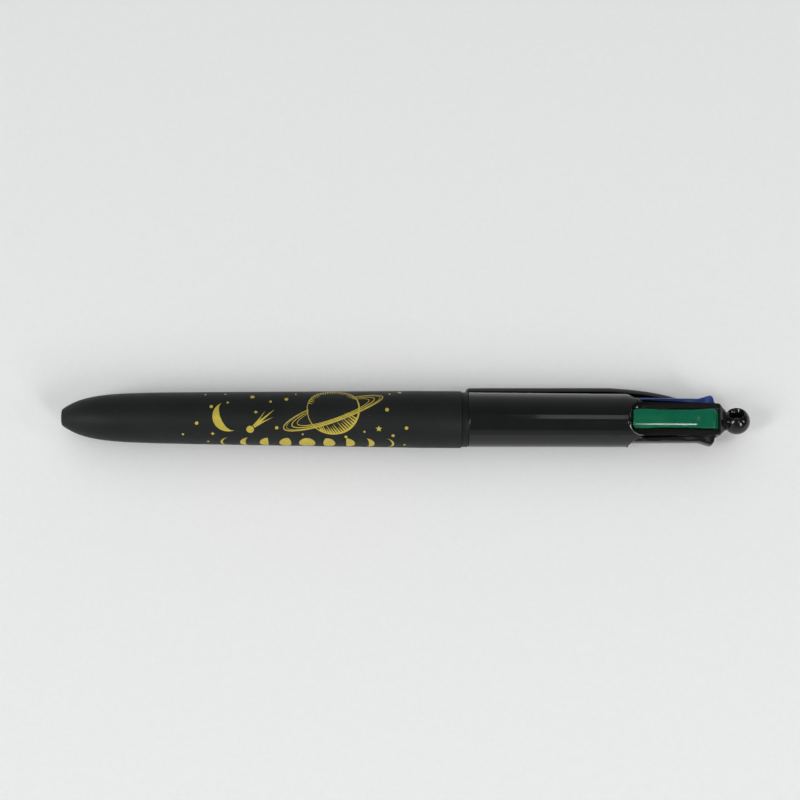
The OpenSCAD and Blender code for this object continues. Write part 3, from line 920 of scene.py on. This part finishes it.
def tab_section(x):
    """The wedge between the fins, straight sides, and a crown with round shoulders."""
    half, top = tab_half(x), tab_top(x)
    crown_r, shoulder, steps, crown_steps = 7.0, 0.30, 5, 8
    side = half - shoulder
    centre = top - crown_r
    lean = math.asin(side / (crown_r - shoulder))
    right = [(0.5, 1.2), (half, 2.72)]
    # shoulder: an arc that touches the side and the crown
    rise = centre + math.sqrt((crown_r - shoulder) ** 2 - side ** 2)
    for k in range(steps + 1):
        a = (math.pi / 2 - lean) * k / steps
        right.append((side + shoulder * math.cos(a), rise + shoulder * math.sin(a)))
    for k in range(1, crown_steps):
        a = lean * (1 - k / crown_steps)
        right.append((crown_r * math.sin(a), centre + crown_r * math.cos(a)))
    mirrored = [(-y, z) for y, z in reversed(right)]
    return [(x, y, z) for y, z in right + [(0.0, top)] + mirrored]


def slider(colour):
    """A thumb tab, the boss under it, and the plug that goes into the ink tube."""
    plug_x = mm_box(f"slider_{colour}")[0].x
    front = [TAB_X + 0.8 * (1 - math.cos(math.pi / 2 * k / 10)) for k in range(11)]
    middle = [TAB_X + 1 + (BUMP_X - TAB_X - 1) * k / 12 for k in range(13)]
    back = [BUMP_X + (CREST_X - BUMP_X) * k / 20 for k in range(1, 21)]
    fall = [CREST_X + (HEEL_X - CREST_X) * math.sin(math.pi / 2 * k / 14) for k in range(1, 15)]
    heel = [HEEL_X + (TAB_END - HEEL_X) * k / 4 for k in range(1, 5)]
    tab = loft([tab_section(x) for x in front + middle + back + fall + heel])
    boss_end, edge = BOSS_X + BOSS_LEN, 0.1
    boss = turned([
        (plug_x, PLUG_R - 0.14), (plug_x + 0.14, PLUG_R), (BOSS_X, PLUG_R), (BOSS_X, BOSS_R - edge),
        (BOSS_X + edge, BOSS_R), (boss_end - edge, BOSS_R), (boss_end, BOSS_R - edge),
    ], 64)
    mesh = placed(joined(tab, placed(boss, up=REFILL_OFF)), clip_turn + TURN_FROM_CLIP[colour])
    return piece(
        f"slider_{colour}_body", mesh, TAB[colour], f"slider_{colour}",
        [f"slider_{colour}"], 40,
    )


for colour in COLOURS:
    slider(colour)


# ---- springs ----

def coil(colour):
    """A round-wire return spring with closed ends, drawn at one length; the real spring shortens as its
    slider goes forward.
    """
    x0, x1 = 10.52, BOSS_X - 0.02
    wire_r, coil_r, turns, per_turn, sides = 0.13, 1.34, 12, 28, 10
    closed, run = 2.1 * wire_r, x1 - x0 - 2 * wire_r
    path = []
    for n in range(turns * per_turn + 1):
        t = n / per_turn
        if t < 1:
            x = closed * t
        elif t > turns - 1:
            x = run - closed * (turns - t)
        else:
            x = closed + (run - 2 * closed) * (t - 1) / (turns - 2)
        path.append((x0 + wire_r + x, math.tau * t))
    rings = []
    for x, a in path:
        ring = []
        for k in range(sides):
            b = math.tau * k / sides
            r = coil_r + wire_r * math.cos(b)
            ring.append((x + wire_r * math.sin(b), r * math.cos(a), r * math.sin(a)))
        rings.append(ring)
    turn = clip_turn + TURN_FROM_CLIP[colour]
    middle = Matrix.Rotation(math.radians(turn), 3, "X") @ Vector((0, 0, REFILL_OFF))
    mesh = placed(loft(rings), turn)
    mesh.transform(Matrix.Translation(middle))
    obj = piece(f"spring_{colour}_coil", mesh, STEEL, "pen_body", [f"spring_{colour}"], 60)
    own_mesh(obj)


for colour in COLOURS:
    coil(colour)


# ---- CAD nodes that keep their shape ----

def paint(node, material):
    """Gives a CAD node its material."""
    mesh = frame["nodes"][node].data
    mesh.materials.clear()
    mesh.materials.append(material)


paint("refill_guide", GUIDE)
for colour in COLOURS:
    paint(f"refill_tube_{colour}", TUBE)
    paint(f"ink_{colour}", INK[colour])
    paint(f"tip_holder_{colour}", HOLDER)
    paint(f"refill_tip_{colour}", BRASS)
    paint(f"writing_ball_{colour}", CARBIDE)


# ---- floor, light and camera ----

def floor():
    """A wide sheet of pale paper that the pen lies on."""
    size = 1.5
    mesh = bpy.data.meshes.new("floor")
    z = barrel_lo.z * MM
    corners = [(-size, -size, z), (size, -size, z), (size, size, z), (-size, size, z)]
    mesh.from_pydata(corners, [], [(0, 1, 2, 3)])
    obj = bpy.data.objects.new("floor", mesh)
    scene.collection.objects.link(obj)
    s = Shader("pale_paper")
    fibre = s.noise(0.8, 4)
    colour = s.mix(s.between(fibre, 0, 1), rgba(0.872, 0.877, 0.875), rgba(0.892, 0.897, 0.895))
    mesh.materials.append(s.set(Base_Color=colour, Roughness=0.9, Specular_IOR_Level=0.1))


OPENING_ELEVATION = 57.0
OPENING_EDGE = (36.0, 31.0)     # degrees from its middle: the walls are fully lit, and the opening starts
OPENING_LEVEL = 0.23
DIMMEST_WALL = 0.08


def toward(azimuth, elevation):
    """The direction from the pen towards a place on the sky; azimuth 0 is in front, at -Y."""
    a, e = math.radians(azimuth), math.radians(elevation)
    return Vector((math.sin(a) * math.cos(e), -math.cos(a) * math.cos(e), math.sin(e)))


def light_tent():
    """Pale walls that fade upward, brighter low on the left, darker on the right, round a dark opening.

    The opening is over the pen, towards the camera.
    """
    world = bpy.data.worlds.new("tent")
    scene.world = world
    world.use_nodes = True
    tree = world.node_tree

    def node(kind, **props):
        made = tree.nodes.new("ShaderNode" + kind)
        for key, value in props.items():
            setattr(made, key, value)
        return made

    def ranged(value, *limits):
        made = node("MapRange")
        for socket, limit in zip(("From Min", "From Max", "To Min", "To Max"), limits):
            made.inputs[socket].default_value = limit
        tree.links.new(value, made.inputs["Value"])
        return made.outputs["Result"]

    def math_node(operation, first, second=None):
        made = node("Math", operation=operation)
        for k, value in enumerate((first, second)):
            if isinstance(value, bpy.types.NodeSocket):
                tree.links.new(value, made.inputs[k])
            elif value is not None:
                made.inputs[k].default_value = value
        return made.outputs[0]

    place = node("TexCoord").outputs["Generated"]
    parts = node("SeparateXYZ")
    tree.links.new(place, parts.inputs[0])
    toward_opening = node("VectorMath", operation="DOT_PRODUCT")
    toward_opening.inputs[1].default_value = toward(0, OPENING_ELEVATION)
    tree.links.new(place, toward_opening.inputs[0])

    walls = ranged(parts.outputs["Z"], 0.0, 1.0, 0.60, 0.17)
    low = ranged(parts.outputs["Z"], 0.25, 0.6, 1.0, 0.0)
    left = math_node("MULTIPLY", ranged(parts.outputs["X"], -0.40, -0.85, 0.0, 0.50), low)
    right = ranged(parts.outputs["X"], 0.30, 0.80, 0.0, -0.40)
    sides = math_node("ADD", left, right)
    outer, inner = (math.cos(math.radians(angle)) for angle in OPENING_EDGE)
    outside = ranged(toward_opening.outputs["Value"], outer, inner, 1.0, 0.0)
    lit = math_node("MULTIPLY", math_node("MAXIMUM", math_node("ADD", walls, sides), DIMMEST_WALL), outside)
    dark = math_node("MULTIPLY", math_node("SUBTRACT", 1.0, outside), OPENING_LEVEL)
    strength = math_node("ADD", lit, dark)
    background = tree.nodes["Background"]
    background.inputs["Color"].default_value = (0.985, 1.0, 0.992, 1)
    tree.links.new(strength, background.inputs["Strength"])


def lamp(name, side, elevation, distance, wide, high, radiance, glossy=True, along_pen=False):
    """A soft panel, placed by side and elevation in degrees.

    wide and high are its angles seen from the pen. along_pen lays its width along the pen.
    """
    data = bpy.data.lights.new(name, "AREA")
    data.shape = "RECTANGLE"
    data.size = 2 * distance * math.tan(math.radians(wide / 2))
    data.size_y = 2 * distance * math.tan(math.radians(high / 2))
    data.energy = radiance * math.pi * data.size * data.size_y
    obj = bpy.data.objects.new(name, data)
    scene.collection.objects.link(obj)
    a, e = math.radians(side), math.radians(elevation)
    way = Vector((math.sin(a), -math.cos(a) * math.cos(e), math.cos(a) * math.sin(e)))
    obj.location = way * distance
    obj.rotation_euler = way.to_track_quat("Z", "Y").to_euler()
    if along_pen:
        edge = Vector((0, way.z, -way.y)).normalized().cross(way)
        obj.rotation_euler = Matrix((edge, way.cross(edge), way)).transposed().to_euler()
    obj.visible_glossy = glossy


def camera():
    """A camera that sees field_mm across at the pen, from in front and above."""
    field_mm, lens, sensor, lean = 170.0, 85.0, 36.0, 0.325
    data = bpy.data.cameras.new("camera")
    data.lens, data.sensor_width = lens, sensor
    obj = bpy.data.objects.new("camera", data)
    scene.collection.objects.link(obj)
    scene.camera = obj
    way = toward(0, CAMERA_ELEVATION)
    picture_up = way.cross(Vector((1, 0, 0))).normalized()
    centre_x, pen_below = -13.0, 4.1
    aim = (Vector((centre_x, 0, 0)) + picture_up * pen_below) * MM
    obj.location = aim + way * (field_mm * lens / sensor) * MM
    roll = Matrix.Rotation(math.radians(lean), 3, "Z")
    basis = Matrix((Vector((1, 0, 0)), picture_up, way)).transposed()
    obj.rotation_euler = (basis @ roll).to_euler()
    data.clip_start, data.clip_end = 0.01, 10


floor()
light_tent()
lamp("left_panel", -38, 57, 1.0, 14, 24, 9.2)
lamp("right_panel", 29, 39, 1.0, 12, 24, 10.5)
lamp("far_right_panel", 54, 64, 1.0, 9, 16, 6.7)
lamp("back_fill", 0, 108, 1.0, 80, 70, 0.5, glossy=False)
lamp("tab_strip", 9.8, 60, 4.0, 2.1, 4.6, 22.0, along_pen=True)
lamp("pale_strip", 6.4, 82, 4.0, 3.0, 17, 1.1, along_pen=True)
camera()
scene.view_settings.view_transform = "Standard"
